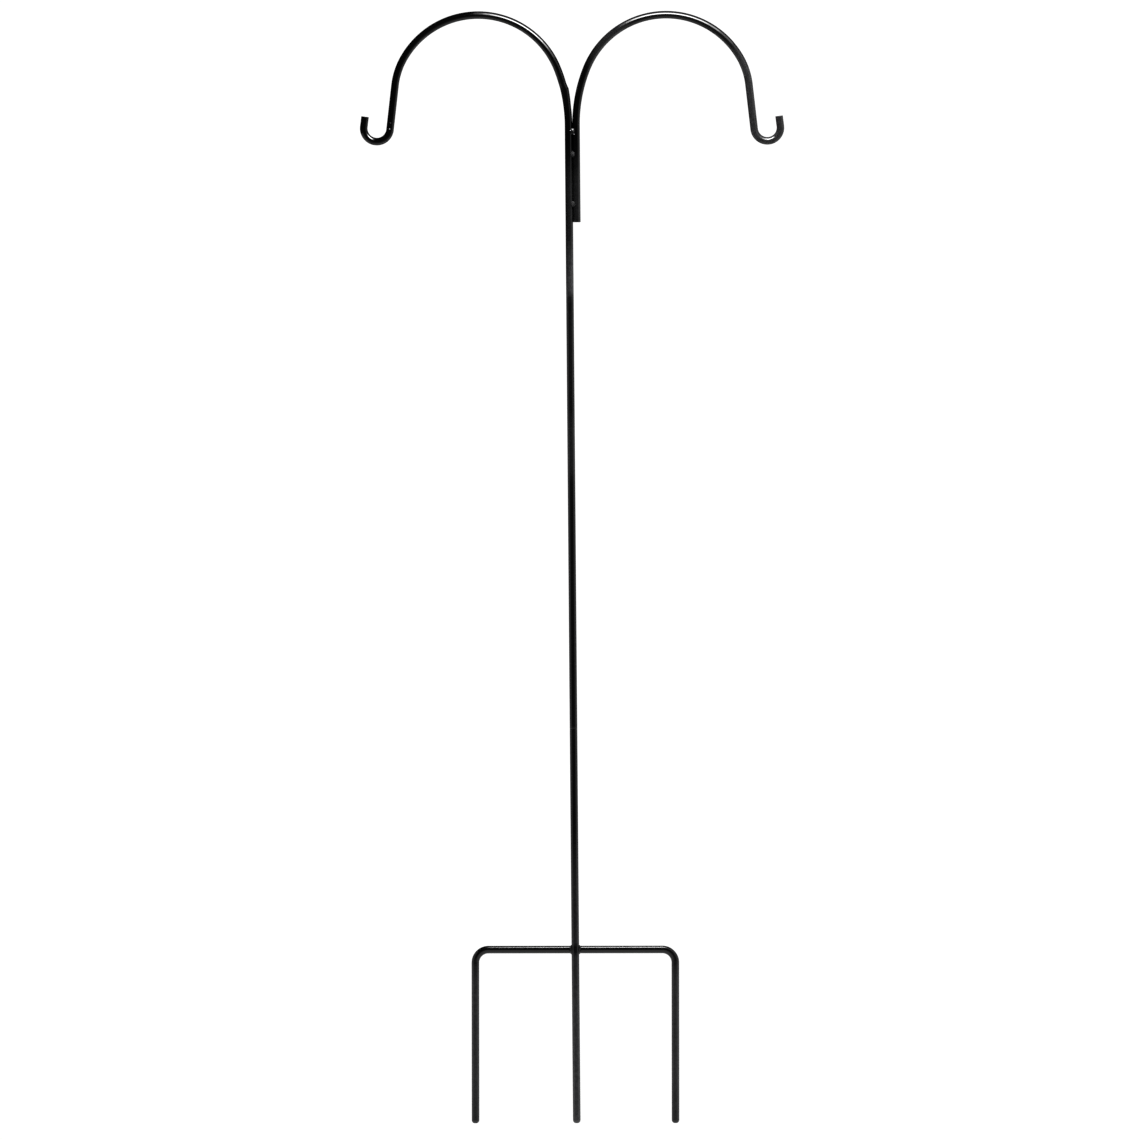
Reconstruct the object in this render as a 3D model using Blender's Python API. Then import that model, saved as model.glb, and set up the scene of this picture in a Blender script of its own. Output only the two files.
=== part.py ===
"""Double shepherd's hook of round steel rod, in two sections that plug together.

Frame: metres, +Z up, +X to the right arm, +Y to the back. The origin is on the pole's axis
at ground level, which is the underside of the fork's crossbar: the tines go into the soil.
"""
import math

import bmesh
import bpy
from mathutils import Matrix, Vector

# Rod stock and fits
ROD_DIAMETER = 0.0127
TOUCH_GAP = 0.0003
SEAM_CHAMFER = 0.0004

# Fork: heights are measured from the ground line, tines downwards
TINE_SPACING = 0.1736
TINE_DEPTH = 0.295
FORK_BEND_RADIUS = 0.0226
TIP_ROUNDING = 0.0035
FORK_LEAN = math.radians(0.405)

# Take-apart joint in the pole
SEAM_HEIGHT = 0.3895
PIN_DIAMETER = 0.008
PIN_CLEARANCE = 0.0003
PIN_ENGAGEMENT = 0.025
PIN_CHAMFER = 0.001

# Arms: where both rods start to bend outwards, and the tail that the right arm has below that.
# Like the fork, both arms lean a little to +X against the pole, as such hand-set work does
ARM_BEND_HEIGHT = 1.4372
RIGHT_TAIL_LENGTH = 0.1682
ARM_LEAN = math.radians(0.37)

# Bend program of one arm, from the pole outwards. Each angle is how far the rod turns
ROOT_BEND_RADIUS = 0.267
ROOT_BEND_ANGLE = math.radians(21.5)
ARCH_RADIUS = 0.1484
ARCH_ANGLE = math.radians(128.5)
SHOULDER_RADIUS = 0.1225
SHOULDER_ANGLE = math.radians(23.5)
LEG_LENGTH = 0.078
HOOK_RADIUS = 0.0229
HOOK_ANGLE = math.radians(180.7)
PRONG_LENGTH = 0.0177
CUT_EDGE_BREAK = 0.0005

# Weld beads in the front groove between the two rods, placed up the tail's length
ARM_WELD_SHARES = {"top": 0.937, "middle": 0.70, "bottom": 0.185}
ARM_WELD_WIDTH = 0.0095
ARM_WELD_LENGTH = 0.0115
ARM_WELD_CROWN = 0.0012

# Weld fillets where the pole crosses the fork bar: out from the pole, and past the bar's height
FORK_WELD_LEG = 0.0055
FORK_WELD_OVERLAP = 0.0039
FORK_WELD_DEPTH = 0.0124

# Facets
ROD_SIDES = 24
PIN_SIDES = 24
BEND_STEP = math.radians(6.5)
TIGHT_BEND_STEP = math.radians(10)
TIP_SEGMENTS = 3
WELD_SIDES = 16
WELD_RINGS = 10

# Sizes worked out from the ones above
ROD_RADIUS = ROD_DIAMETER / 2
PIN_RADIUS = PIN_DIAMETER / 2
SOCKET_RADIUS = PIN_RADIUS + PIN_CLEARANCE
SOCKET_DEPTH = PIN_ENGAGEMENT + TOUCH_GAP
ROD_PITCH = ROD_DIAMETER + TOUCH_GAP
CONTACT_PLANE_X = ROD_PITCH / 2
BAR_AXIS_Y = ROD_PITCH
BAR_AXIS_Z = ROD_RADIUS
TAIL_END_HEIGHT = ARM_BEND_HEIGHT - RIGHT_TAIL_LENGTH
CUTTER_RADIUS = ROD_RADIUS + TOUCH_GAP


def material(name, color, roughness, metallic, coat=0.0):
    """A Principled BSDF for one finish."""
    finish = bpy.data.materials.new(name)
    finish.use_nodes = True
    shader = finish.node_tree.nodes["Principled BSDF"]
    shader.inputs["Base Color"].default_value = (*color, 1)
    shader.inputs["Roughness"].default_value = roughness
    shader.inputs["Metallic"].default_value = metallic
    shader.inputs["Coat Weight"].default_value = coat
    return finish


def finish_object(name, bm, finish, parent, place=(0, 0, 0)):
    """Turn a bmesh into a named object that sits at place under its parent empty."""
    bmesh.ops.recalc_face_normals(bm, faces=bm.faces)
    mesh = bpy.data.meshes.new(name)
    bm.to_mesh(mesh)
    bm.free()
    mesh.shade_smooth()
    mesh.set_sharp_from_angle(angle=math.radians(35))
    mesh.materials.append(finish)
    piece = bpy.data.objects.new(name, mesh)
    bpy.context.collection.objects.link(piece)
    piece.parent = parent
    piece.location = place
    return piece


def section_empty(name, place):
    """The parent of one section, with its origin on the pole's axis."""
    empty = bpy.data.objects.new(name, None)
    empty.location = place
    bpy.context.collection.objects.link(empty)
    return empty


class Rod:
    """A round rod laid out step by step in the XZ plane, as a bending machine makes it."""

    def __init__(self, radius=ROD_RADIUS, sides=ROD_SIDES):
        self.bm = bmesh.new()
        bmesh.ops.create_circle(self.bm, cap_ends=True, segments=sides, radius=radius)
        self.bm.faces.ensure_lookup_table()
        self.end = self.bm.faces[0]
        self.point = Vector((0, 0, 0))
        self.heading = 0.0

    def direction(self):
        """Unit vector along the rod: heading 0 is up, positive headings lean to +X."""
        return Vector((math.sin(self.heading), 0, math.cos(self.heading)))

    def push(self, face, step):
        """Extrude an end face by step. The face behind it stays only as the rod's start."""
        inner = len(self.bm.faces) > 1
        grown = bmesh.ops.extrude_face_region(self.bm, geom=[face])["geom"]
        verts = [part for part in grown if isinstance(part, bmesh.types.BMVert)]
        bmesh.ops.translate(self.bm, vec=step, verts=verts)
        if inner:
            bmesh.ops.delete(self.bm, geom=[face], context="FACES_ONLY")
        return next(part for part in grown if isinstance(part, bmesh.types.BMFace))

    def straight(self, length):
        """Let the rod run straight on."""
        step = self.direction() * length
        self.end = self.push(self.end, step)
        self.point += step
        return self

    def bend(self, radius, angle, step=BEND_STEP):
        """Spin the end face round a bend. A positive angle turns towards +X and down."""
        turn = math.copysign(1, angle)
        side = Vector((math.cos(self.heading), 0, -math.sin(self.heading)))
        centre = self.point + side * radius * turn
        count = math.ceil(abs(angle) / step)
        last = bmesh.ops.spin(
            self.bm, geom=[self.end], cent=centre, axis=(0, 1, 0),
            angle=angle, steps=count, use_duplicate=False)["geom_last"]
        bmesh.ops.delete(self.bm, geom=[self.end], context="FACES_ONLY")
        self.end = next(part for part in last if isinstance(part, bmesh.types.BMFace))
        self.point = centre + Matrix.Rotation(angle, 3, "Y") @ (self.point - centre)
        self.heading += angle
        return self

    def flat_end(self, place):
        """The flat end face whose middle is nearest to place."""
        ends = [face for face in self.bm.faces if len(face.verts) > 4]
        return min(ends, key=lambda face: (face.calc_center_median() - place).length)

    def start_face(self):
        """The flat face that the rod was started from."""
        return self.flat_end(Vector((0, 0, 0)))

    def round_edge(self, face, size, segments=1):
        """Bevel the rim of an end face and return the smaller face that is left."""
        middle = face.calc_center_median()
        bmesh.ops.bevel(
            self.bm, geom=list(face.edges), offset=size, segments=segments,
            profile=0.5, affect="EDGES", material=-1)
        return self.flat_end(middle)

    def drill(self, face, hole_radius, depth):
        """Sink a blind hole into an end face, leaving an even wall."""
        bmesh.ops.recalc_face_normals(self.bm, faces=self.bm.faces)
        inward = -face.normal
        middle = face.calc_center_median()
        flat_radius = min((edge.verts[0].co + edge.verts[1].co - middle * 2).length
                          for edge in face.edges) / 2
        bmesh.ops.inset_region(self.bm, faces=[face], thickness=flat_radius - hole_radius,
                               use_even_offset=True)
        self.push(face, inward * depth)


def arm_bends(rod, lean):
    """Add one arm to a rod that points straight up: root bend, arch, leg and small hook.

    The lean is set in the root bend, which keeps its length.
    """
    root_angle = ROOT_BEND_ANGLE + lean
    rod.bend(ROOT_BEND_RADIUS * ROOT_BEND_ANGLE / root_angle, root_angle)
    rod.bend(ARCH_RADIUS, ARCH_ANGLE)
    rod.bend(SHOULDER_RADIUS, SHOULDER_ANGLE)
    rod.straight(LEG_LENGTH)
    rod.bend(HOOK_RADIUS, -HOOK_ANGLE, TIGHT_BEND_STEP)
    rod.straight(PRONG_LENGTH)
    rod.round_edge(rod.end, CUT_EDGE_BREAK)
    return rod


def half_turn(bm):
    """Turn a finished rod half round its own axis, so that its arm leaves to -X."""
    bmesh.ops.rotate(bm, cent=(0, 0, 0), matrix=Matrix.Rotation(math.pi, 3, "Z"), verts=bm.verts)


def make_lower_pole(finish, parent):
    """The lower rod: middle tine, crossing with the fork bar, and socket at the top."""
    rod = Rod().straight(TINE_DEPTH + SEAM_HEIGHT - TOUCH_GAP / 2)
    top = rod.round_edge(rod.end, SEAM_CHAMFER)
    rod.drill(top, SOCKET_RADIUS, SOCKET_DEPTH)
    rod.round_edge(rod.start_face(), TIP_ROUNDING, TIP_SEGMENTS)
    return finish_object("lower_pole", rod.bm, finish, parent, (0, 0, -TINE_DEPTH))


def make_fork_bar(finish, parent):
    """One rod bent twice: outer tine, crossbar, outer tine. It passes behind the pole.

    It is turned about the crossing by its lean.
    """
    quarter = math.pi / 2
    tine_straight = TINE_DEPTH + BAR_AXIS_Z - FORK_BEND_RADIUS
    rod = Rod().straight(tine_straight)
    rod.bend(FORK_BEND_RADIUS, quarter, TIGHT_BEND_STEP)
    rod.straight((TINE_SPACING - FORK_BEND_RADIUS) * 2)
    rod.bend(FORK_BEND_RADIUS, quarter, TIGHT_BEND_STEP)
    rod.straight(tine_straight)
    rod.round_edge(rod.end, TIP_ROUNDING, TIP_SEGMENTS)
    rod.round_edge(rod.start_face(), TIP_ROUNDING, TIP_SEGMENTS)
    bmesh.ops.rotate(rod.bm, cent=(TINE_SPACING, 0, TINE_DEPTH + BAR_AXIS_Z),
                     matrix=Matrix.Rotation(FORK_LEAN, 3, "Y"), verts=rod.bm.verts)
    return finish_object("fork_bar", rod.bm, finish, parent, (-TINE_SPACING, BAR_AXIS_Y, -TINE_DEPTH))


def make_upper_pole(finish, parent):
    """The long rod: socket at the seam, straight pole, left arm and left hook."""
    rod = Rod().straight(ARM_BEND_HEIGHT - SEAM_HEIGHT - TOUCH_GAP / 2)
    arm_bends(rod, -ARM_LEAN)
    foot = rod.round_edge(rod.start_face(), SEAM_CHAMFER)
    rod.drill(foot, SOCKET_RADIUS, SOCKET_DEPTH)
    half_turn(rod.bm)
    return finish_object("upper_pole", rod.bm, finish, parent, (0, 0, TOUCH_GAP / 2))


def make_right_arm(finish, parent):
    """The second rod: straight tail against the pole, right arm and right hook."""
    rod = Rod().straight(RIGHT_TAIL_LENGTH)
    arm_bends(rod, ARM_LEAN)
    rod.round_edge(rod.start_face(), CUT_EDGE_BREAK)
    place = (ROD_PITCH, 0, TAIL_END_HEIGHT - SEAM_HEIGHT)
    return finish_object("right_arm", rod.bm, finish, parent, place)


def make_connector_pin(finish, place):
    """The loose steel pin that stands half in each socket."""
    pin = Rod(PIN_RADIUS, PIN_SIDES).straight(PIN_ENGAGEMENT * 2)
    pin.round_edge(pin.end, PIN_CHAMFER)
    pin.round_edge(pin.start_face(), PIN_CHAMFER)
    bmesh.ops.translate(pin.bm, vec=(0, 0, -PIN_ENGAGEMENT), verts=pin.bm.verts)
    return finish_object("connector_pin", pin.bm, finish, None, place)


def rod_cutter(name, parent, place, length, turn=0.0):
    """A straight rod of the cutting radius, centred on place and turned about Y from upright."""
    bm = bmesh.new()
    bmesh.ops.create_cone(
        bm, cap_ends=True, segments=ROD_SIDES, radius1=CUTTER_RADIUS,
        radius2=CUTTER_RADIUS, depth=length, matrix=Matrix.Rotation(turn, 4, "Y"))
    cutter = finish_object(name, bm, None, parent, place)
    cutter.hide_render = True
    cutter.display_type = "WIRE"
    return cutter


def make_weld(name, finish, parent, place, size, cutters):
    """A weld bead: a small ellipsoid whose back is cut by the rods that it joins."""
    bm = bmesh.new()
    bmesh.ops.create_uvsphere(bm, u_segments=WELD_SIDES, v_segments=WELD_RINGS, radius=0.5)
    bmesh.ops.scale(bm, vec=size, verts=bm.verts)
    bead = finish_object(name, bm, finish, parent, place)
    for cutter in cutters:
        cut = bead.modifiers.new("cut by " + cutter.name, "BOOLEAN")
        cut.operation = "DIFFERENCE"
        cut.solver = "EXACT"
        cut.object = cutter
    return bead


def make_arm_welds(finish, parent):
    """Three beads down the front groove between the pole and the right arm's tail."""
    tail_end = TAIL_END_HEIGHT - SEAM_HEIGHT
    middle_z = tail_end + RIGHT_TAIL_LENGTH / 2
    cutters = [rod_cutter("arm_weld_cutter_" + side, parent, (x, 0, middle_z), RIGHT_TAIL_LENGTH * 2)
               for side, x in (("left", 0), ("right", ROD_PITCH))]
    depth = ROD_RADIUS + ARM_WELD_CROWN
    for level, share in ARM_WELD_SHARES.items():
        place = (CONTACT_PLANE_X, -depth / 2, tail_end + RIGHT_TAIL_LENGTH * share)
        make_weld("arm_weld_" + level, finish, parent, place,
                  (ARM_WELD_WIDTH, depth, ARM_WELD_LENGTH), cutters)


def make_fork_welds(finish, parent):
    """A fillet each side of the pole, in the corner between pole and fork bar."""
    cutters = [rod_cutter("fork_weld_cutter_pole", parent, (0, 0, BAR_AXIS_Z), TINE_DEPTH),
               rod_cutter("fork_weld_cutter_bar", parent, (0, BAR_AXIS_Y, BAR_AXIS_Z),
                          TINE_SPACING, math.pi / 2 + FORK_LEAN)]
    width = ROD_RADIUS + FORK_WELD_LEG
    length = ROD_DIAMETER + FORK_WELD_OVERLAP * 2
    for side, sign in (("left", -1), ("right", 1)):
        place = (sign * (width / 2 + TOUCH_GAP), BAR_AXIS_Y / 2, BAR_AXIS_Z)
        make_weld("fork_weld_" + side, finish, parent, place,
                  (width, FORK_WELD_DEPTH, length), cutters)


def build():
    """Make both sections and the pin between them."""
    for leftover in list(bpy.data.objects):
        bpy.data.objects.remove(leftover)

    coat = material("black_powder_coat", (0.012, 0.012, 0.013), 0.22, 0.0, 0.6)
    steel = material("bare_steel", (0.55, 0.55, 0.56), 0.35, 1.0)

    lower = section_empty("lower_section", (0, 0, 0))
    upper = section_empty("upper_section", (0, 0, SEAM_HEIGHT))

    make_lower_pole(coat, lower)
    make_fork_bar(coat, lower)
    make_fork_welds(coat, lower)
    make_connector_pin(steel, (0, 0, SEAM_HEIGHT))
    make_upper_pole(coat, upper)
    make_right_arm(coat, upper)
    make_arm_welds(coat, upper)


build()
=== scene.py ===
import math

import bmesh
import bpy
from mathutils import Matrix, Vector, noise


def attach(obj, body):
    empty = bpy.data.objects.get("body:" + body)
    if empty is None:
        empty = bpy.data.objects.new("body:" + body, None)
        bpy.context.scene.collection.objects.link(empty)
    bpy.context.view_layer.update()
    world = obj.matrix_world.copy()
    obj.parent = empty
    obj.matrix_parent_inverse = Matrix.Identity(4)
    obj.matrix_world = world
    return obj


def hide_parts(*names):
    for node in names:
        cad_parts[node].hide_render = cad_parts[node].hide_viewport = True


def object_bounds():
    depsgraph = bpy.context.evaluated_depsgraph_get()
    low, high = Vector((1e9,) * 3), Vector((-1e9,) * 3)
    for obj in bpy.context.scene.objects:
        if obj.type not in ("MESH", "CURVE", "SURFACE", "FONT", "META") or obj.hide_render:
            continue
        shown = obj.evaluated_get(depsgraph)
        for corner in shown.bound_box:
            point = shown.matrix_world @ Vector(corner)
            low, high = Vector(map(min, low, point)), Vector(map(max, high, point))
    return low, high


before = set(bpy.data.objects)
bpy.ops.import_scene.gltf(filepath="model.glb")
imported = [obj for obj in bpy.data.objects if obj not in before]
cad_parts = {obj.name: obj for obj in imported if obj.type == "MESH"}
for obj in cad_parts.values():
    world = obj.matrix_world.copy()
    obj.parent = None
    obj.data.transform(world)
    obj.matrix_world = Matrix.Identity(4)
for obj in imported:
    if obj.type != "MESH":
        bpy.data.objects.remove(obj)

# Sizes are in metres, and places are in the frame's axes: X to the right, Y to the back and Z up
CAD_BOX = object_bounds()

# Rod stock, with the thickness of the powder coat on it. The coat closes the hairline where rods touch
ROD_RADIUS = 0.00635
COAT_THICKNESS = 0.00017
COATED_RADIUS = ROD_RADIUS + COAT_THICKNESS
ROD_PITCH = 0.013
GROOVE_X = ROD_PITCH / 2

# Fork
TINE_SPACING = 0.1736
TINE_DEPTH = 0.295
FORK_BEND_RADIUS = 0.0226
FORK_BEND_DEGREES = 90
FORK_LEAN = math.radians(0.405)
TIP_ROUNDING = 0.0052
BAR_Z = ROD_RADIUS
BAR_Y = ROD_PITCH

# Take-apart joint
SEAM_Z = 0.3895
SEAM_GAP = 0.00006
SEAM_CHAMFER = 0.00045
PIN_RADIUS = 0.004
PIN_ENGAGEMENT = 0.025
PIN_CHAMFER = 0.001
BORE_RADIUS = 0.0043
BORE_DEPTH = 0.0253

# Arms, as a bend program from the pole outwards: radius and turn in degrees
ARM_BEND_Z = 1.4372
TAIL_LENGTH = 0.1682
TAIL_END_Z = ARM_BEND_Z - TAIL_LENGTH
ARM_LEAN = 0.37
ROOT_BEND = (0.267, 21.5)
ARM_BENDS = ((0.1484, 128.5), (0.1225, 23.5))
LEG_LENGTH = 0.078
HOOK_BEND = (0.0229, 180.7)
PRONG_LENGTH = 0.0177
CUT_EDGE_BREAK = 0.0006

# A slight bulge on the inner side of the left arm's root: the level of its top, how far it stands out, the
# share of that by which the outer side moves, its runs up and down, and how far from the pole it may reach
BULGE_Z = 1.5013
BULGE_PUSH = 0.0018
BULGE_OUTER_SHARE = 0.15
BULGE_RUN_UP = 0.008
BULGE_RUN_DOWN = 0.030
BULGE_LIMIT_X = 0.05

# Arm welds: each one's place as a share of the tail, the depth of its frozen drops, and its seed
ARM_WELDS = {"top": (0.937, 0.13, 21.9), "middle": (0.70, 0.05, 29.2), "bottom": (0.185, 0.05, 36.5)}
ARM_WELD_SIZE = Vector((0.0095, 0.0078, 0.0115))
ARM_WELD_PROUD = 0.0012
ARM_WELD_FRONT_Y = -ROD_RADIUS - ARM_WELD_PROUD
ARM_WELD_RIPPLES = 2.5

# Fork welds: each one's side of the pole and its seed
FORK_WELDS = {"left": (-1, 5.1), "right": (1, 10.2)}
FORK_WELD_SIZE = Vector((0.0103, 0.0124, 0.0178))
FORK_WELD_RIPPLES = 4.0
FORK_WELD_DROPS = 0.06

# A bead's surface, in shares of its size, and the scales of its noise across a ball one unit wide
BALL_RADIUS = 0.5
BEAD_FILL = 0.965
RIPPLE_DEPTH = 0.022
RIPPLE_SLANT = 1.3
DROP_SCALE = 4.2
GRIT_SCALE = 13.0
GRIT_DEPTH = 0.018

# Facets
ROD_SIDES = 56
END_LENGTH = 0.005
ROOT_BEND_STEP = 1.0
BEND_STEP = 2.2
TIGHT_BEND_STEP = 4.5
EDGE_STEPS = 2
TIP_STEPS = 8
PIN_SIDES = 72
BEAD_DETAIL = 5
SHARP_ANGLE = math.radians(40)

# Noise patterns of the finishes: scale, detail and roughness, and the span that most of a pattern is in
CLOUD = (9.0, 3.0, 0.5)
MOTTLE = (160.0, 3.0, 0.5)
WANDER = (70.0, 2.0, 0.5)
PEEL = (430.0, 2.0, 0.45)
GRAIN = (1700.0, 2.0, 0.5)
SLAG = (520.0, 5.0, 0.62)
OIL = (60.0, 4.0, 0.5)
DUST = (1.5, 2.0, 0.5)
PATTERN_SPAN = (0.3, 0.7)

# Powder coat: its greys, how rough it is where it is glossy, satin and dull, and its clear skin
COAT_GREYS = (0.00054, 0.00126)
COAT_BLUE = 1.03
COAT_IOR = 1.5
GLOSSY = 0.08
SATIN = 0.20
DULL = 0.80
RUBBED_SPAN = (0.35, 0.75)
RUBBED_ROUGHNESS = 0.05
GRAIN_ROUGHNESS = 0.03
SKIN_WEIGHT = 0.25
SKIN_ROUGHNESS = 0.04
SKIN_IOR = 1.45

# Relief of the powder coat: heights of its orange peel, fine peel, grain, nibs of dust and weld slag
PEEL_HEIGHT = 0.00003
FINE_PEEL_HEIGHT = 0.00001
GRAIN_HEIGHT = 0.000004
NIB_HEIGHT = 0.00005
SLAG_HEIGHT = 0.0003
RELIEF_STRENGTH = 0.6

# Nibs: cells a metre, a nib's rim and top in shares of a cell, and its grey
NIB_SCALE = 95.0
NIB_RIM = 0.10
NIB_TOP = 0.03
NIB_GREY = 0.004

# Zones of painted light and shade in the coat's grey, standing in for sheen and reflected light on the rods:
# axis, start, full, full to, end and grey, which below 0 takes grey away as painted shade. Their borders
# wander by up to half of WANDER_REACH, and FAR is past the ends of the object
MOTTLE_SHARES = (0.8, 1.2)
WANDER_REACH = 0.03
FAR = 10.0
FROM_FAR = (-FAR - 1, -FAR)
TO_FAR = (FAR, FAR + 1)
UPPER_ZONES = (
    ("Z", *FROM_FAR, 1.33, 1.42, 0.0055),
    ("Z", 1.129, 1.157, 1.168, 1.256, 0.040),
    ("Z", 1.19, 1.25, 1.31, 1.385, 0.006),
    ("Z", 0.95, 1.00, 1.11, 1.13, 0.003),
    ("Z", 0.815, 0.842, 0.905, 0.957, 0.014),
)
RIGHT_ZONES = (
    ("Z", *FROM_FAR, 1.33, 1.40, 0.011),
    ("X", 0.030, 0.058, 0.085, 0.125, 0.011),
    ("X", 0.06, 0.20, *TO_FAR, 0.002),
    ("X", 0.27, 0.315, *TO_FAR, 0.019),
)
LOWER_ZONES = (
    ("Z", *FROM_FAR, 0.11, 0.22, 0.027),
    ("Z", *FROM_FAR, -0.03, 0.06, 0.010),
    ("Z", *FROM_FAR, -0.09, -0.04, 0.022),
    ("X", *FROM_FAR, *TO_FAR, 0.005),
    # Painted shade: less grey on the pole where it passes the crossbar
    ("Z", -0.006, 0.002, 0.010, 0.019, -0.030),
)
FORK_ZONES = (("Z", -0.36, -0.20, -0.06, 0.01, 0.046),)
WELD_ZONES = (("X", *FROM_FAR, *TO_FAR, 0.003),)
DULL_WELD_ZONES = (("X", *FROM_FAR, *TO_FAR, 0.009),)

# Small pale marks in the coat, and painted glints on the top weld bead: place, radius and grey, and the
# share of the radius that has it in full
HOOK_SPECKS = (((-0.3090, -0.0065, 1.4440), 0.0016, 0.07), ((-0.3108, -0.0065, 1.4336), 0.0016, 0.32))
# Painted glints: pale spots in the colour where the lumps of the top weld bead catch the light
BEAD_PAINTED_GLINT = ((0.0036, -0.0059, 1.4282), 0.0013, 0.45)
BEAD_EDGE_PAINTED_GLINT = ((0.0094, -0.0058, 1.4222), 0.0013, 0.50)
SPECK_CORE = 0.4

# Turned steel: its two tones, its roughness, and the lathe marks round it
STEEL_TONES = ((0.42, 0.42, 0.43, 1), (0.60, 0.59, 0.57, 1))
STEEL_ROUGHNESS = (0.24, 0.40)
LATHE_MARKS = {"Scale": 900.0, "Distortion": 1.2, "Detail": 2.0}
LATHE_STRENGTH = 0.35
LATHE_DEPTH = 0.00003

# Where a Mix node has its two colours, and where its mixed one
MIX_COLOUR_SOCKETS = (6, 7)
MIX_RESULT = 2

# Floor: half its width, the gap under the tips, its tone for the light and for the camera, its roughness,
# and the distances over which the glow that the gloss mirrors falls off
FLOOR_SIZE = 14
FLOOR_GAP = 0.0004
FLOOR_TONE = 0.86
FLOOR_SEEN_TONE = 0.20
FLOOR_ROUGHNESS = (0.75, 0.85)
FLOOR_GLOW_SPAN = (0.3, 1.8)

# Light levels, where 1 is the white of the background
WHITE = (1, 1, 1, 1)
ROOM_GLOW = 0.05
ROOM_SEEN_GLOW = 1.05
FLOOR_GLOW = 0.58
FLOOR_EDGE_GLOW = 0.08
FLOOR_SEEN_GLOW = 0.76
SOFTBOX_GLOW = 34.0
FILL_GLOW = 0.8
LEFT_PANEL_GLOW = 0.65
RIGHT_PANEL_GLOW = 0.715

# The overhead box: its place, the step between the layers of its cloth, and each layer's centre X, width,
# depth and share of the glow. The cloth is brightest in its middle
SOFTBOX_Y = -0.58
SOFTBOX_Z = 2.05
SOFTBOX_LAYER_STEP = 0.001
SOFTBOX_LAYERS = (
    (0.19, 0.38, 0.38, 0.32),
    (0.21, 0.56, 0.56, 0.40),
    (0.25, 0.74, 0.78, 0.22),
    (0.34, 1.04, 1.10, 0.06),
)

# The other boxes: place, the point they are aimed at, width, height and brightness
RIGHT_FILL = ((1.25, -0.95, 2.10), (1.25, -0.95, 0), 1.3, 1.7, FILL_GLOW)
LEFT_PANEL = ((-1.2, 0.3, 0.40), (0, 0.3, 0.40), 2.6, 1.5, LEFT_PANEL_GLOW)
RIGHT_PANEL = ((1.2, 0.3, 0.75), (0, 0.3, 0.75), 2.6, 2.2, RIGHT_PANEL_GLOW)

# Photograph: metres a pixel, its width, the frame's middle, how far the picture is turned, and its contrast
PIXEL = 0.0017361
FRAME_PIXELS = 1140
FRAME_MIDDLE = Vector((-0.00383, 0, 0.66537))
PICTURE_TURN = math.radians(0.475)
PICTURE_GAMMA = 0.75

# Camera: how far it stands from the pole, and how far it sees
CAMERA_DISTANCE = 6
CAMERA_REACH = 40


class Nodes:
    """Shorthand for laying out a material's nodes."""

    def __init__(self, material):
        self.tree = material.node_tree

    def add(self, kind, **properties):
        """Add a node with the properties given."""
        node = self.tree.nodes.new("ShaderNode" + kind)
        for name, value in properties.items():
            setattr(node, name, value)
        return node

    def put(self, node, socket, value):
        """Set one input, or link it where the value is another node's output."""
        target = node.inputs[socket]
        if isinstance(value, bpy.types.NodeSocket):
            self.tree.links.new(value, target)
        else:
            target.default_value = value

    def math(self, operation, first, second):
        """One Math node's result."""
        node = self.add("Math", operation=operation)
        self.put(node, 0, first)
        self.put(node, 1, second)
        return node.outputs[0]

    def between(self, value, low, high, bottom=0.0, top=1.0):
        """A smooth step of value from bottom at low to top at high."""
        node = self.add("MapRange", interpolation_type="SMOOTHSTEP")
        for socket, number in zip(("Value", "From Min", "From Max", "To Min", "To Max"),
                                  (value, low, high, bottom, top)):
            self.put(node, socket, number)
        return node.outputs[0]

    def noise(self, place, pattern, output="Fac"):
        """A noise pattern from 0 to 1, whose three numbers are its scale, detail and roughness."""
        node = self.add("TexNoise", noise_dimensions="3D")
        self.put(node, "Vector", place)
        for socket, number in zip(("Scale", "Detail", "Roughness"), pattern):
            self.put(node, socket, number)
        return node.outputs[output]

    def relief(self, shader, height, strength, distance=1.0):
        """Give the shader's surface a bump. Distance is how far a height of 1 stands out."""
        bump = self.add("Bump")
        self.put(bump, "Strength", strength)
        self.put(bump, "Distance", distance)
        self.put(bump, "Height", height)
        self.put(shader, "Normal", bump.outputs[0])


def new_material(name):
    """A material with a Principled shader, its nodes, and the place of the point being shaded."""
    material = bpy.data.materials.new(name)
    material.use_nodes = True
    nodes = Nodes(material)
    shader = material.node_tree.nodes["Principled BSDF"]
    place = nodes.add("TexCoord").outputs["Object"]
    return material, nodes, shader, place


def ragged_axes(nodes, place):
    """The X, Y and Z of the place, wandering so that what starts or ends along them has a ragged border."""
    shift = nodes.add("VectorMath", operation="MULTIPLY_ADD")
    nodes.put(shift, 0, nodes.noise(place, WANDER, "Color"))
    nodes.put(shift, 1, (WANDER_REACH, WANDER_REACH, WANDER_REACH))
    nodes.put(shift, 2, place)
    axes = nodes.add("SeparateXYZ")
    nodes.put(axes, 0, shift.outputs[0])
    return axes.outputs


def painted_light_and_shade(nodes, place, zones):
    """Painted light and shade: a mottled grey laid in zones for sheen and reflected light, and taken away
    where a zone paints shade.
    """
    axes = ragged_axes(nodes, place)
    middle = WANDER_REACH / 2
    painted_shading = 0.0
    for axis, start, full, full_to, end, grey in zones:
        rise = nodes.between(axes[axis], start + middle, full + middle)
        fall = nodes.between(axes[axis], full_to + middle, end + middle, grey, 0.0)
        painted_shading = nodes.math("ADD", painted_shading, nodes.math("MULTIPLY", rise, fall))
    mottle = nodes.between(nodes.noise(place, MOTTLE), *PATTERN_SPAN, *MOTTLE_SHARES)
    return nodes.math("MULTIPLY", painted_shading, mottle)


def dust_nibs(nodes, place):
    """Specks of dust that were cured into the coat, 1 on top of each."""
    cells = nodes.add("TexVoronoi", feature="F1")
    nodes.put(cells, "Vector", place)
    nodes.put(cells, "Scale", NIB_SCALE)
    return nodes.between(cells.outputs["Distance"], NIB_RIM, NIB_TOP)


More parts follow.
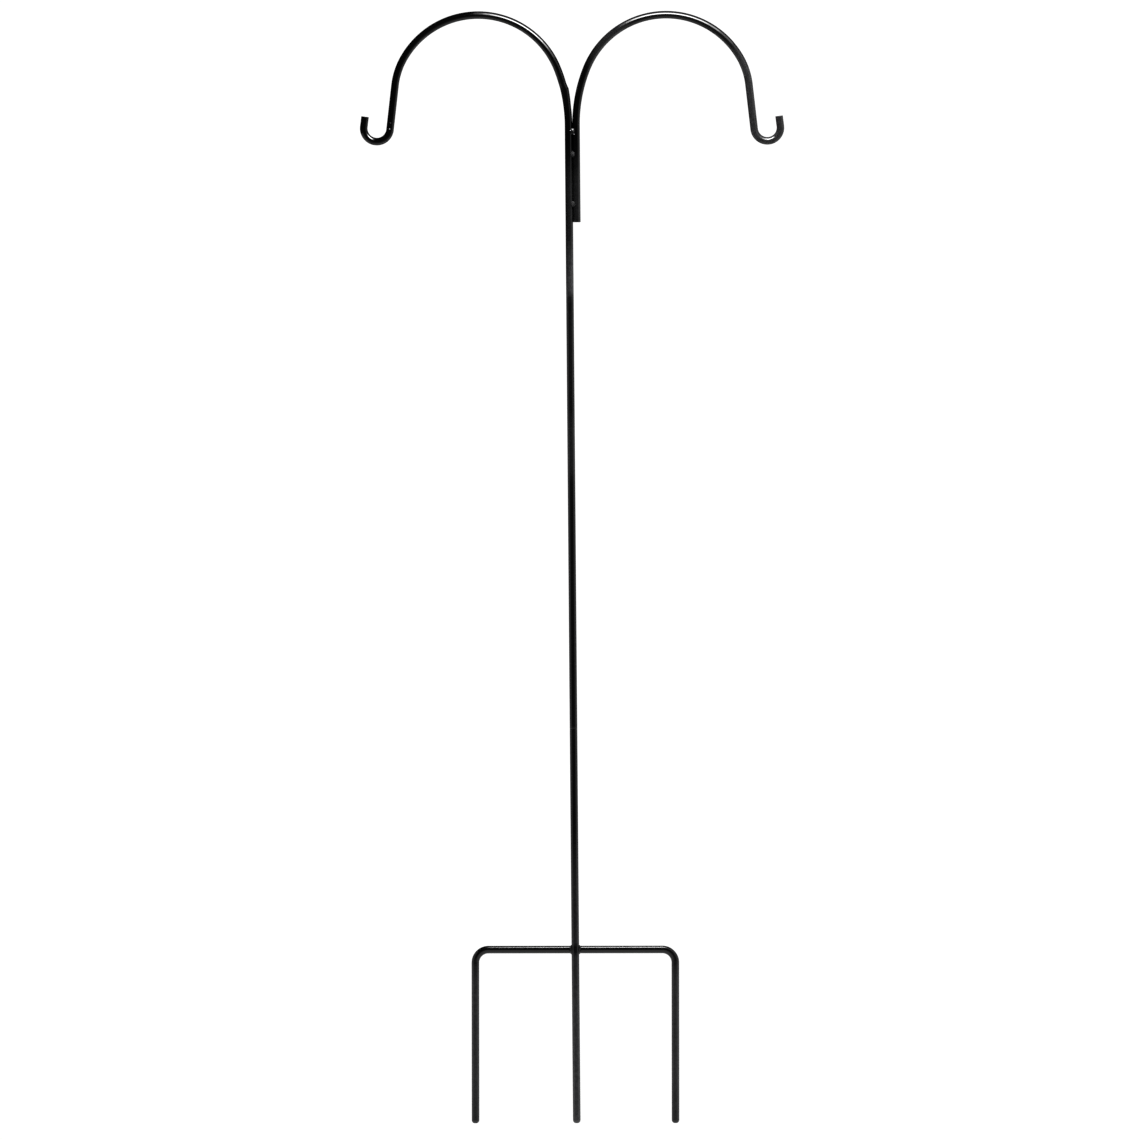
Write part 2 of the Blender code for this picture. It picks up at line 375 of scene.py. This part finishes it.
def pale_speck(nodes, place, spot, radius, grey):
    """A round pale spot at one place of the coat; on and beside the top weld bead it is a painted glint."""
    gap = nodes.add("VectorMath", operation="DISTANCE")
    nodes.put(gap, 0, place)
    nodes.put(gap, 1, spot)
    return nodes.between(gap.outputs["Value"], radius * SPECK_CORE, radius, grey, 0.0)


def powder_coat(name, zones, specks=(), roughness=GLOSSY, peel_height=PEEL_HEIGHT, slag_height=0.0,
                skin=SKIN_WEIGHT):
    """Black powder coat on steel.

    Zones are where light and shade are painted into its grey, and specks its pale marks, some of them
    painted glints. Slag height is that of weld slag under the coat, and skin is the weight of the clear film
    on top.
    """
    material, nodes, shader, place = new_material(name)
    cloud = nodes.noise(place, CLOUD)
    peel = nodes.noise(place, PEEL)
    grain = nodes.noise(place, GRAIN)
    nibs = dust_nibs(nodes, place)

    grey = nodes.between(cloud, *PATTERN_SPAN, *COAT_GREYS)
    # Painted light and shade from the zones, added to the grey
    grey = nodes.math("ADD", grey, painted_light_and_shade(nodes, place, zones))
    grey = nodes.math("ADD", grey, nodes.math("MULTIPLY", nibs, NIB_GREY))
    for spot, radius, pale in specks:
        grey = nodes.math("ADD", grey, pale_speck(nodes, place, spot, radius, pale))
    tone = nodes.add("CombineColor", mode="RGB")
    nodes.put(tone, "Red", grey)
    nodes.put(tone, "Green", grey)
    nodes.put(tone, "Blue", nodes.math("MULTIPLY", grey, COAT_BLUE))
    nodes.put(shader, "Base Color", tone.outputs[0])

    rubbed = nodes.between(cloud, *RUBBED_SPAN, roughness, roughness + RUBBED_ROUGHNESS)
    fine = nodes.math("MULTIPLY", grain, GRAIN_ROUGHNESS)
    nodes.put(shader, "Roughness", nodes.math("ADD", rubbed, fine))

    height = nodes.math("MULTIPLY", peel, peel_height)
    height = nodes.math("ADD", height, nodes.math("MULTIPLY", grain, GRAIN_HEIGHT))
    height = nodes.math("ADD", height, nodes.math("MULTIPLY", nibs, NIB_HEIGHT))
    if slag_height:
        slag = nodes.noise(place, SLAG)
        height = nodes.math("ADD", height, nodes.math("MULTIPLY", slag, slag_height))
    nodes.relief(shader, height, RELIEF_STRENGTH)

    nodes.put(shader, "IOR", COAT_IOR)
    nodes.put(shader, "Coat Weight", skin)
    nodes.put(shader, "Coat Roughness", SKIN_ROUGHNESS)
    nodes.put(shader, "Coat IOR", SKIN_IOR)
    return material


def bare_steel(name):
    """Turned steel bar with fine lathe marks round it and a film of oil."""
    material, nodes, shader, place = new_material(name)
    oil = nodes.noise(place, OIL)
    tone = nodes.add("Mix", data_type="RGBA")
    nodes.put(tone, "Factor", oil)
    for socket, colour in zip(MIX_COLOUR_SOCKETS, STEEL_TONES):
        nodes.put(tone, socket, colour)
    nodes.put(shader, "Base Color", tone.outputs[MIX_RESULT])
    nodes.put(shader, "Roughness", nodes.between(oil, *PATTERN_SPAN, *STEEL_ROUGHNESS))
    nodes.put(shader, "Metallic", 1.0)
    marks = nodes.add("TexWave", wave_type="BANDS", bands_direction="Z", wave_profile="SAW")
    nodes.put(marks, "Vector", place)
    for socket, number in LATHE_MARKS.items():
        nodes.put(marks, socket, number)
    nodes.relief(shader, marks.outputs["Fac"], LATHE_STRENGTH, LATHE_DEPTH)
    return material


class Rod:
    """A round rod laid out step by step in the XZ plane, as a bending machine makes it."""

    def __init__(self, radius=COATED_RADIUS, sides=ROD_SIDES):
        self.bm = bmesh.new()
        bmesh.ops.create_circle(self.bm, cap_ends=True, segments=sides, radius=radius)
        self.bm.faces.ensure_lookup_table()
        self.end = self.bm.faces[0]
        self.point = Vector((0, 0, 0))
        self.heading = 0.0

    def push(self, face, step):
        """Extrude an end face by step. The face behind it stays only as the rod's start."""
        inner = len(self.bm.faces) > 1
        grown = bmesh.ops.extrude_face_region(self.bm, geom=[face])["geom"]
        verts = [part for part in grown if isinstance(part, bmesh.types.BMVert)]
        bmesh.ops.translate(self.bm, vec=step, verts=verts)
        if inner:
            bmesh.ops.delete(self.bm, geom=[face], context="FACES_ONLY")
        return next(part for part in grown if isinstance(part, bmesh.types.BMFace))

    def straight(self, length):
        """Let the rod run straight on. The short ends keep a rounded edge's shading to themselves."""
        direction = Vector((math.sin(self.heading), 0, math.cos(self.heading)))
        for part in (END_LENGTH, length - END_LENGTH * 2, END_LENGTH):
            self.end = self.push(self.end, direction * part)
            self.point += direction * part
        return self

    def bend(self, radius, degrees, step=BEND_STEP):
        """Spin the end face round a bend. Positive degrees turn towards +X and down."""
        angle = math.radians(degrees)
        side = Vector((math.cos(self.heading), 0, -math.sin(self.heading)))
        centre = self.point + side * math.copysign(radius, angle)
        last = bmesh.ops.spin(
            self.bm, geom=[self.end], cent=centre, axis=(0, 1, 0), angle=angle,
            steps=math.ceil(abs(degrees) / step), use_duplicate=False)["geom_last"]
        bmesh.ops.delete(self.bm, geom=[self.end], context="FACES_ONLY")
        self.end = next(part for part in last if isinstance(part, bmesh.types.BMFace))
        self.point = centre + Matrix.Rotation(angle, 3, "Y") @ (self.point - centre)
        self.heading += angle

    def flat_end(self, place):
        """The flat end face whose middle is nearest to place. The rod's other faces have four corners."""
        ends = [face for face in self.bm.faces if len(face.verts) > 4]
        return min(ends, key=lambda face: (face.calc_center_median() - place).length)

    def start_face(self):
        """The flat face that the rod was started from."""
        return self.flat_end(Vector((0, 0, 0)))

    def round_edge(self, face, size, steps=EDGE_STEPS):
        """Bevel the rim of an end face and return the smaller face that is left."""
        middle = face.calc_center_median()
        bmesh.ops.bevel(
            self.bm, geom=list(face.edges), offset=size, segments=steps,
            profile=0.5, affect="EDGES", material=-1)
        return self.flat_end(middle)

    def drill(self, face, hole_radius, depth):
        """Sink a blind hole into an end face."""
        bmesh.ops.recalc_face_normals(self.bm, faces=self.bm.faces)
        inward = -face.normal
        middle = face.calc_center_median()
        flat_radius = (next(iter(face.verts)).co - middle).length
        bmesh.ops.inset_region(self.bm, faces=[face], thickness=flat_radius - hole_radius,
                               use_even_offset=True)
        self.push(face, inward * depth)


def add_arm(rod, lean):
    """Bend one arm on a rod that points straight up: root, arch, shoulder, leg and small hook."""
    radius, degrees = ROOT_BEND
    rod.bend(radius * degrees / (degrees + lean), degrees + lean, ROOT_BEND_STEP)
    for radius, degrees in ARM_BENDS:
        rod.bend(radius, degrees)
    rod.straight(LEG_LENGTH)
    radius, degrees = HOOK_BEND
    rod.bend(radius, -degrees, TIGHT_BEND_STEP)
    rod.straight(PRONG_LENGTH)
    rod.round_edge(rod.end, CUT_EDGE_BREAK)


def finish_piece(name, bm, finish, place):
    """Turn a bmesh into an object whose place is in its mesh."""
    bmesh.ops.translate(bm, vec=place, verts=bm.verts)
    bmesh.ops.recalc_face_normals(bm, faces=bm.faces)
    mesh = bpy.data.meshes.new(name)
    bm.to_mesh(mesh)
    bm.free()
    mesh.shade_smooth()
    mesh.set_sharp_from_angle(angle=SHARP_ANGLE)
    mesh.materials.append(finish)
    piece = bpy.data.objects.new(name, mesh)
    bpy.context.collection.objects.link(piece)
    return piece


def fit(piece, body, node):
    """Hang a piece on its body in place of its CAD node."""
    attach(piece, body)
    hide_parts(node)


def make_lower_pole(finish):
    """Middle tine and lower pole in one rod, with the pin's socket in its top."""
    rod = Rod().straight(TINE_DEPTH + SEAM_Z - SEAM_GAP / 2)
    top = rod.round_edge(rod.end, SEAM_CHAMFER)
    rod.drill(top, BORE_RADIUS, BORE_DEPTH)
    rod.round_edge(rod.start_face(), TIP_ROUNDING, TIP_STEPS)
    return finish_piece("lower_pole_rod", rod.bm, finish, (0, 0, -TINE_DEPTH))


def make_fork_bar(finish):
    """Outer tine, crossbar and outer tine, bent from one rod behind the pole."""
    tine_straight = TINE_DEPTH + BAR_Z - FORK_BEND_RADIUS
    rod = Rod().straight(tine_straight)
    rod.bend(FORK_BEND_RADIUS, FORK_BEND_DEGREES, TIGHT_BEND_STEP)
    rod.straight((TINE_SPACING - FORK_BEND_RADIUS) * 2)
    rod.bend(FORK_BEND_RADIUS, FORK_BEND_DEGREES, TIGHT_BEND_STEP)
    rod.straight(tine_straight)
    rod.round_edge(rod.end, TIP_ROUNDING, TIP_STEPS)
    rod.round_edge(rod.start_face(), TIP_ROUNDING, TIP_STEPS)
    bmesh.ops.rotate(rod.bm, cent=(TINE_SPACING, 0, TINE_DEPTH + BAR_Z),
                     matrix=Matrix.Rotation(FORK_LEAN, 3, "Y"), verts=rod.bm.verts)
    return finish_piece("fork_bar_rod", rod.bm, finish, (-TINE_SPACING, BAR_Y, -TINE_DEPTH))


def bulge_root(rod, foot_z):
    """Push the inner side of the left arm's root a little towards the other arm."""
    rod.bm.normal_update()
    for vert in rod.bm.verts:
        rise = vert.co.z + foot_z - BULGE_Z
        run = BULGE_RUN_UP if rise > 0 else BULGE_RUN_DOWN
        if abs(rise) < run and abs(vert.co.x) < BULGE_LIMIT_X:
            inner_side = (1 + vert.normal.x) / 2
            share = BULGE_OUTER_SHARE + (1 - BULGE_OUTER_SHARE) * inner_side
            vert.co.x += BULGE_PUSH * share * (1 - abs(rise) / run)


def make_upper_pole(finish):
    """Upper pole, left arch and left hook in one rod, with the other socket in its foot."""
    foot_z = SEAM_Z + SEAM_GAP / 2
    rod = Rod().straight(ARM_BEND_Z - foot_z)
    add_arm(rod, -ARM_LEAN)
    foot = rod.round_edge(rod.start_face(), SEAM_CHAMFER)
    rod.drill(foot, BORE_RADIUS, BORE_DEPTH)
    bmesh.ops.rotate(rod.bm, matrix=Matrix.Rotation(math.pi, 3, "Z"), verts=rod.bm.verts)
    bulge_root(rod, foot_z)
    return finish_piece("upper_pole_rod", rod.bm, finish, (0, 0, foot_z))


def make_right_arm(finish):
    """Straight tail beside the pole, right arch and right hook in one rod."""
    rod = Rod().straight(TAIL_LENGTH)
    add_arm(rod, ARM_LEAN)
    rod.round_edge(rod.start_face(), CUT_EDGE_BREAK)
    return finish_piece("right_arm_rod", rod.bm, finish, (ROD_PITCH, 0, TAIL_END_Z))


def make_pin(finish):
    """The loose pin between the sockets."""
    pin = Rod(PIN_RADIUS, PIN_SIDES).straight(PIN_ENGAGEMENT * 2)
    pin.round_edge(pin.end, PIN_CHAMFER)
    pin.round_edge(pin.start_face(), PIN_CHAMFER)
    return finish_piece("turned_pin", pin.bm, finish, (0, 0, SEAM_Z - PIN_ENGAGEMENT))


def make_bead(name, finish, centre, size, ripples, drops, seed):
    """A weld bead: a rounded blob with ripples across its run, frozen drops and grit."""
    bm = bmesh.new()
    bmesh.ops.create_icosphere(bm, subdivisions=BEAD_DETAIL, radius=BALL_RADIUS)
    for vert in bm.verts:
        run = vert.co.z / BALL_RADIUS
        ripple = math.sin(run * math.pi * ripples + RIPPLE_SLANT * vert.co.x) * RIPPLE_DEPTH
        drop = noise.noise(vert.co * DROP_SCALE + Vector((seed, 0, 0))) * drops
        grit = noise.noise(vert.co * GRIT_SCALE + Vector((0, seed, 0))) * GRIT_DEPTH
        vert.co *= BEAD_FILL + ripple + drop + grit
    bmesh.ops.scale(bm, vec=size, verts=bm.verts)
    return finish_piece(name, bm, finish, centre)


def make_arm_bead(level, finish):
    """One of the three tack welds down the front groove between pole and tail."""
    share, drops, seed = ARM_WELDS[level]
    middle_y = ARM_WELD_FRONT_Y + ARM_WELD_SIZE.y / 2
    centre = (GROOVE_X, middle_y, TAIL_END_Z + TAIL_LENGTH * share)
    return make_bead("arm_weld_bead_" + level, finish, centre, ARM_WELD_SIZE, ARM_WELD_RIPPLES, drops, seed)


def make_fork_bead(side, finish):
    """The bead on one side of the pole, filling the corners above and below the crossbar."""
    sign, seed = FORK_WELDS[side]
    centre = (sign * (FORK_WELD_SIZE.x / 2), BAR_Y / 2, BAR_Z)
    return make_bead("fork_weld_bead_" + side, finish, centre, FORK_WELD_SIZE, FORK_WELD_RIPPLES,
                     FORK_WELD_DROPS, seed)


def make_floor():
    """A wide pale floor at the tips of the tines."""
    bm = bmesh.new()
    bmesh.ops.create_grid(bm, x_segments=1, y_segments=1, size=FLOOR_SIZE)
    material, nodes, shader, place = new_material("pale_floor")
    seen = nodes.add("LightPath").outputs["Is Camera Ray"]
    nodes.put(shader, "Base Color", nodes.between(seen, 0.0, 1.0, FLOOR_TONE, FLOOR_SEEN_TONE))
    nodes.put(shader, "Roughness", nodes.between(nodes.noise(place, DUST), *PATTERN_SPAN, *FLOOR_ROUGHNESS))
    nodes.put(shader, "Emission Color", WHITE)
    # The floor glows for the lit object and for what the gloss mirrors, brightest under the object and
    # dimmer farther off: a painted pool of light
    reach = nodes.add("VectorMath", operation="LENGTH")
    nodes.put(reach, 0, place)
    mirrored = nodes.between(reach.outputs["Value"], *FLOOR_GLOW_SPAN, FLOOR_GLOW, FLOOR_EDGE_GLOW)
    nodes.put(shader, "Emission Strength", nodes.between(seen, 0.0, 1.0, mirrored, FLOOR_SEEN_GLOW))
    floor = finish_piece("floor", bm, material, (0, 0, CAD_BOX[0][2] - FLOOR_GAP))
    return floor


def make_room():
    """White all round for the camera, and a dim room for what the gloss mirrors."""
    world = bpy.data.worlds.new("studio")
    bpy.context.scene.world = world
    world.use_nodes = True
    tree = world.node_tree
    tree.nodes.clear()
    ray = tree.nodes.new("ShaderNodeLightPath")
    mix = tree.nodes.new("ShaderNodeMixShader")
    tree.links.new(ray.outputs["Is Camera Ray"], mix.inputs[0])
    for socket, level in enumerate((ROOM_GLOW, ROOM_SEEN_GLOW), 1):
        glow = tree.nodes.new("ShaderNodeBackground")
        glow.inputs["Color"].default_value = WHITE
        glow.inputs["Strength"].default_value = level
        tree.links.new(glow.outputs[0], mix.inputs[socket])
    out = tree.nodes.new("ShaderNodeOutputWorld")
    tree.links.new(mix.outputs[0], out.inputs["Surface"])


def make_softbox(name, place, aim, width, height, brightness):
    """A soft box of a given brightness, pointed at aim and not seen itself."""
    data = bpy.data.lights.new(name, "AREA")
    data.shape = "RECTANGLE"
    data.size = width
    data.size_y = height
    data.energy = brightness * math.pi * width * height
    light = bpy.data.objects.new(name, data)
    light.location = place
    light.rotation_mode = "QUATERNION"
    light.rotation_quaternion = (Vector(aim) - Vector(place)).to_track_quat("-Z", "Y")
    light.visible_camera = False
    bpy.context.collection.objects.link(light)
    return light


def make_overhead_softbox():
    """One soft box above the front, in layers that add up to a bright middle and soft edges."""
    for layer, (x, width, depth, share) in enumerate(SOFTBOX_LAYERS, 1):
        place = (x, SOFTBOX_Y, SOFTBOX_Z + layer * SOFTBOX_LAYER_STEP)
        make_softbox("overhead_softbox_%d" % layer, place, (x, SOFTBOX_Y, 0), width, depth,
                     SOFTBOX_GLOW * share)


def keep_off(light, floor):
    """Let a panel light the object alone, because its edge would draw a line on the floor."""
    group = bpy.data.collections.new(light.name + "_passes")
    group.objects.link(floor)
    group.collection_objects[0].light_linking.link_state = "EXCLUDE"
    light.light_linking.receiver_collection = group


def make_camera():
    """A level camera without perspective, turned a little as the photograph is."""
    data = bpy.data.cameras.new("camera")
    data.type = "ORTHO"
    data.ortho_scale = PIXEL * FRAME_PIXELS
    data.clip_end = CAMERA_REACH
    camera = bpy.data.objects.new("camera", data)
    bpy.context.collection.objects.link(camera)
    turn = Matrix.Rotation(math.pi / 2, 4, "X") @ Matrix.Rotation(-PICTURE_TURN, 4, "Z")
    camera.matrix_world = Matrix.Translation(FRAME_MIDDLE - Vector((0, CAMERA_DISTANCE, 0))) @ turn
    bpy.context.scene.camera = camera


make_camera()

# Finishes
upper_coat = powder_coat("powder_coat_upper", UPPER_ZONES, HOOK_SPECKS)
right_coat = powder_coat("powder_coat_right", RIGHT_ZONES, (BEAD_EDGE_PAINTED_GLINT,))
lower_coat = powder_coat("powder_coat_lower", LOWER_ZONES)
fork_coat = powder_coat("powder_coat_fork", FORK_ZONES, roughness=SATIN, peel_height=FINE_PEEL_HEIGHT)
weld_coat = powder_coat("powder_coat_weld", WELD_ZONES, (BEAD_PAINTED_GLINT, BEAD_EDGE_PAINTED_GLINT), roughness=SATIN,
                        slag_height=SLAG_HEIGHT)
dull_weld_coat = powder_coat("powder_coat_dull_weld", DULL_WELD_ZONES, roughness=DULL,
                             slag_height=SLAG_HEIGHT, skin=0.0)
steel = bare_steel("turned_steel")

# Pieces
fit(make_lower_pole(lower_coat), "lower_section", "lower_pole")
fit(make_fork_bar(fork_coat), "lower_section", "fork_bar")
fit(make_upper_pole(upper_coat), "upper_section", "upper_pole")
fit(make_right_arm(right_coat), "upper_section", "right_arm")
fit(make_pin(steel), "pin", "connector_pin")
for side in FORK_WELDS:
    fit(make_fork_bead(side, weld_coat), "lower_section", "fork_weld_" + side)
for level in ARM_WELDS:
    finish = weld_coat if level == "top" else dull_weld_coat
    fit(make_arm_bead(level, finish), "upper_section", "arm_weld_" + level)

# Studio
floor = make_floor()
make_room()
make_overhead_softbox()
make_softbox("right_fill", *RIGHT_FILL)
left_panel = make_softbox("left_panel", *LEFT_PANEL)
right_panel = make_softbox("right_panel", *RIGHT_PANEL)
for panel in (left_panel, right_panel):
    keep_off(panel, floor)
bpy.context.scene.view_settings.view_transform = "Standard"
bpy.context.scene.view_settings.gamma = PICTURE_GAMMA
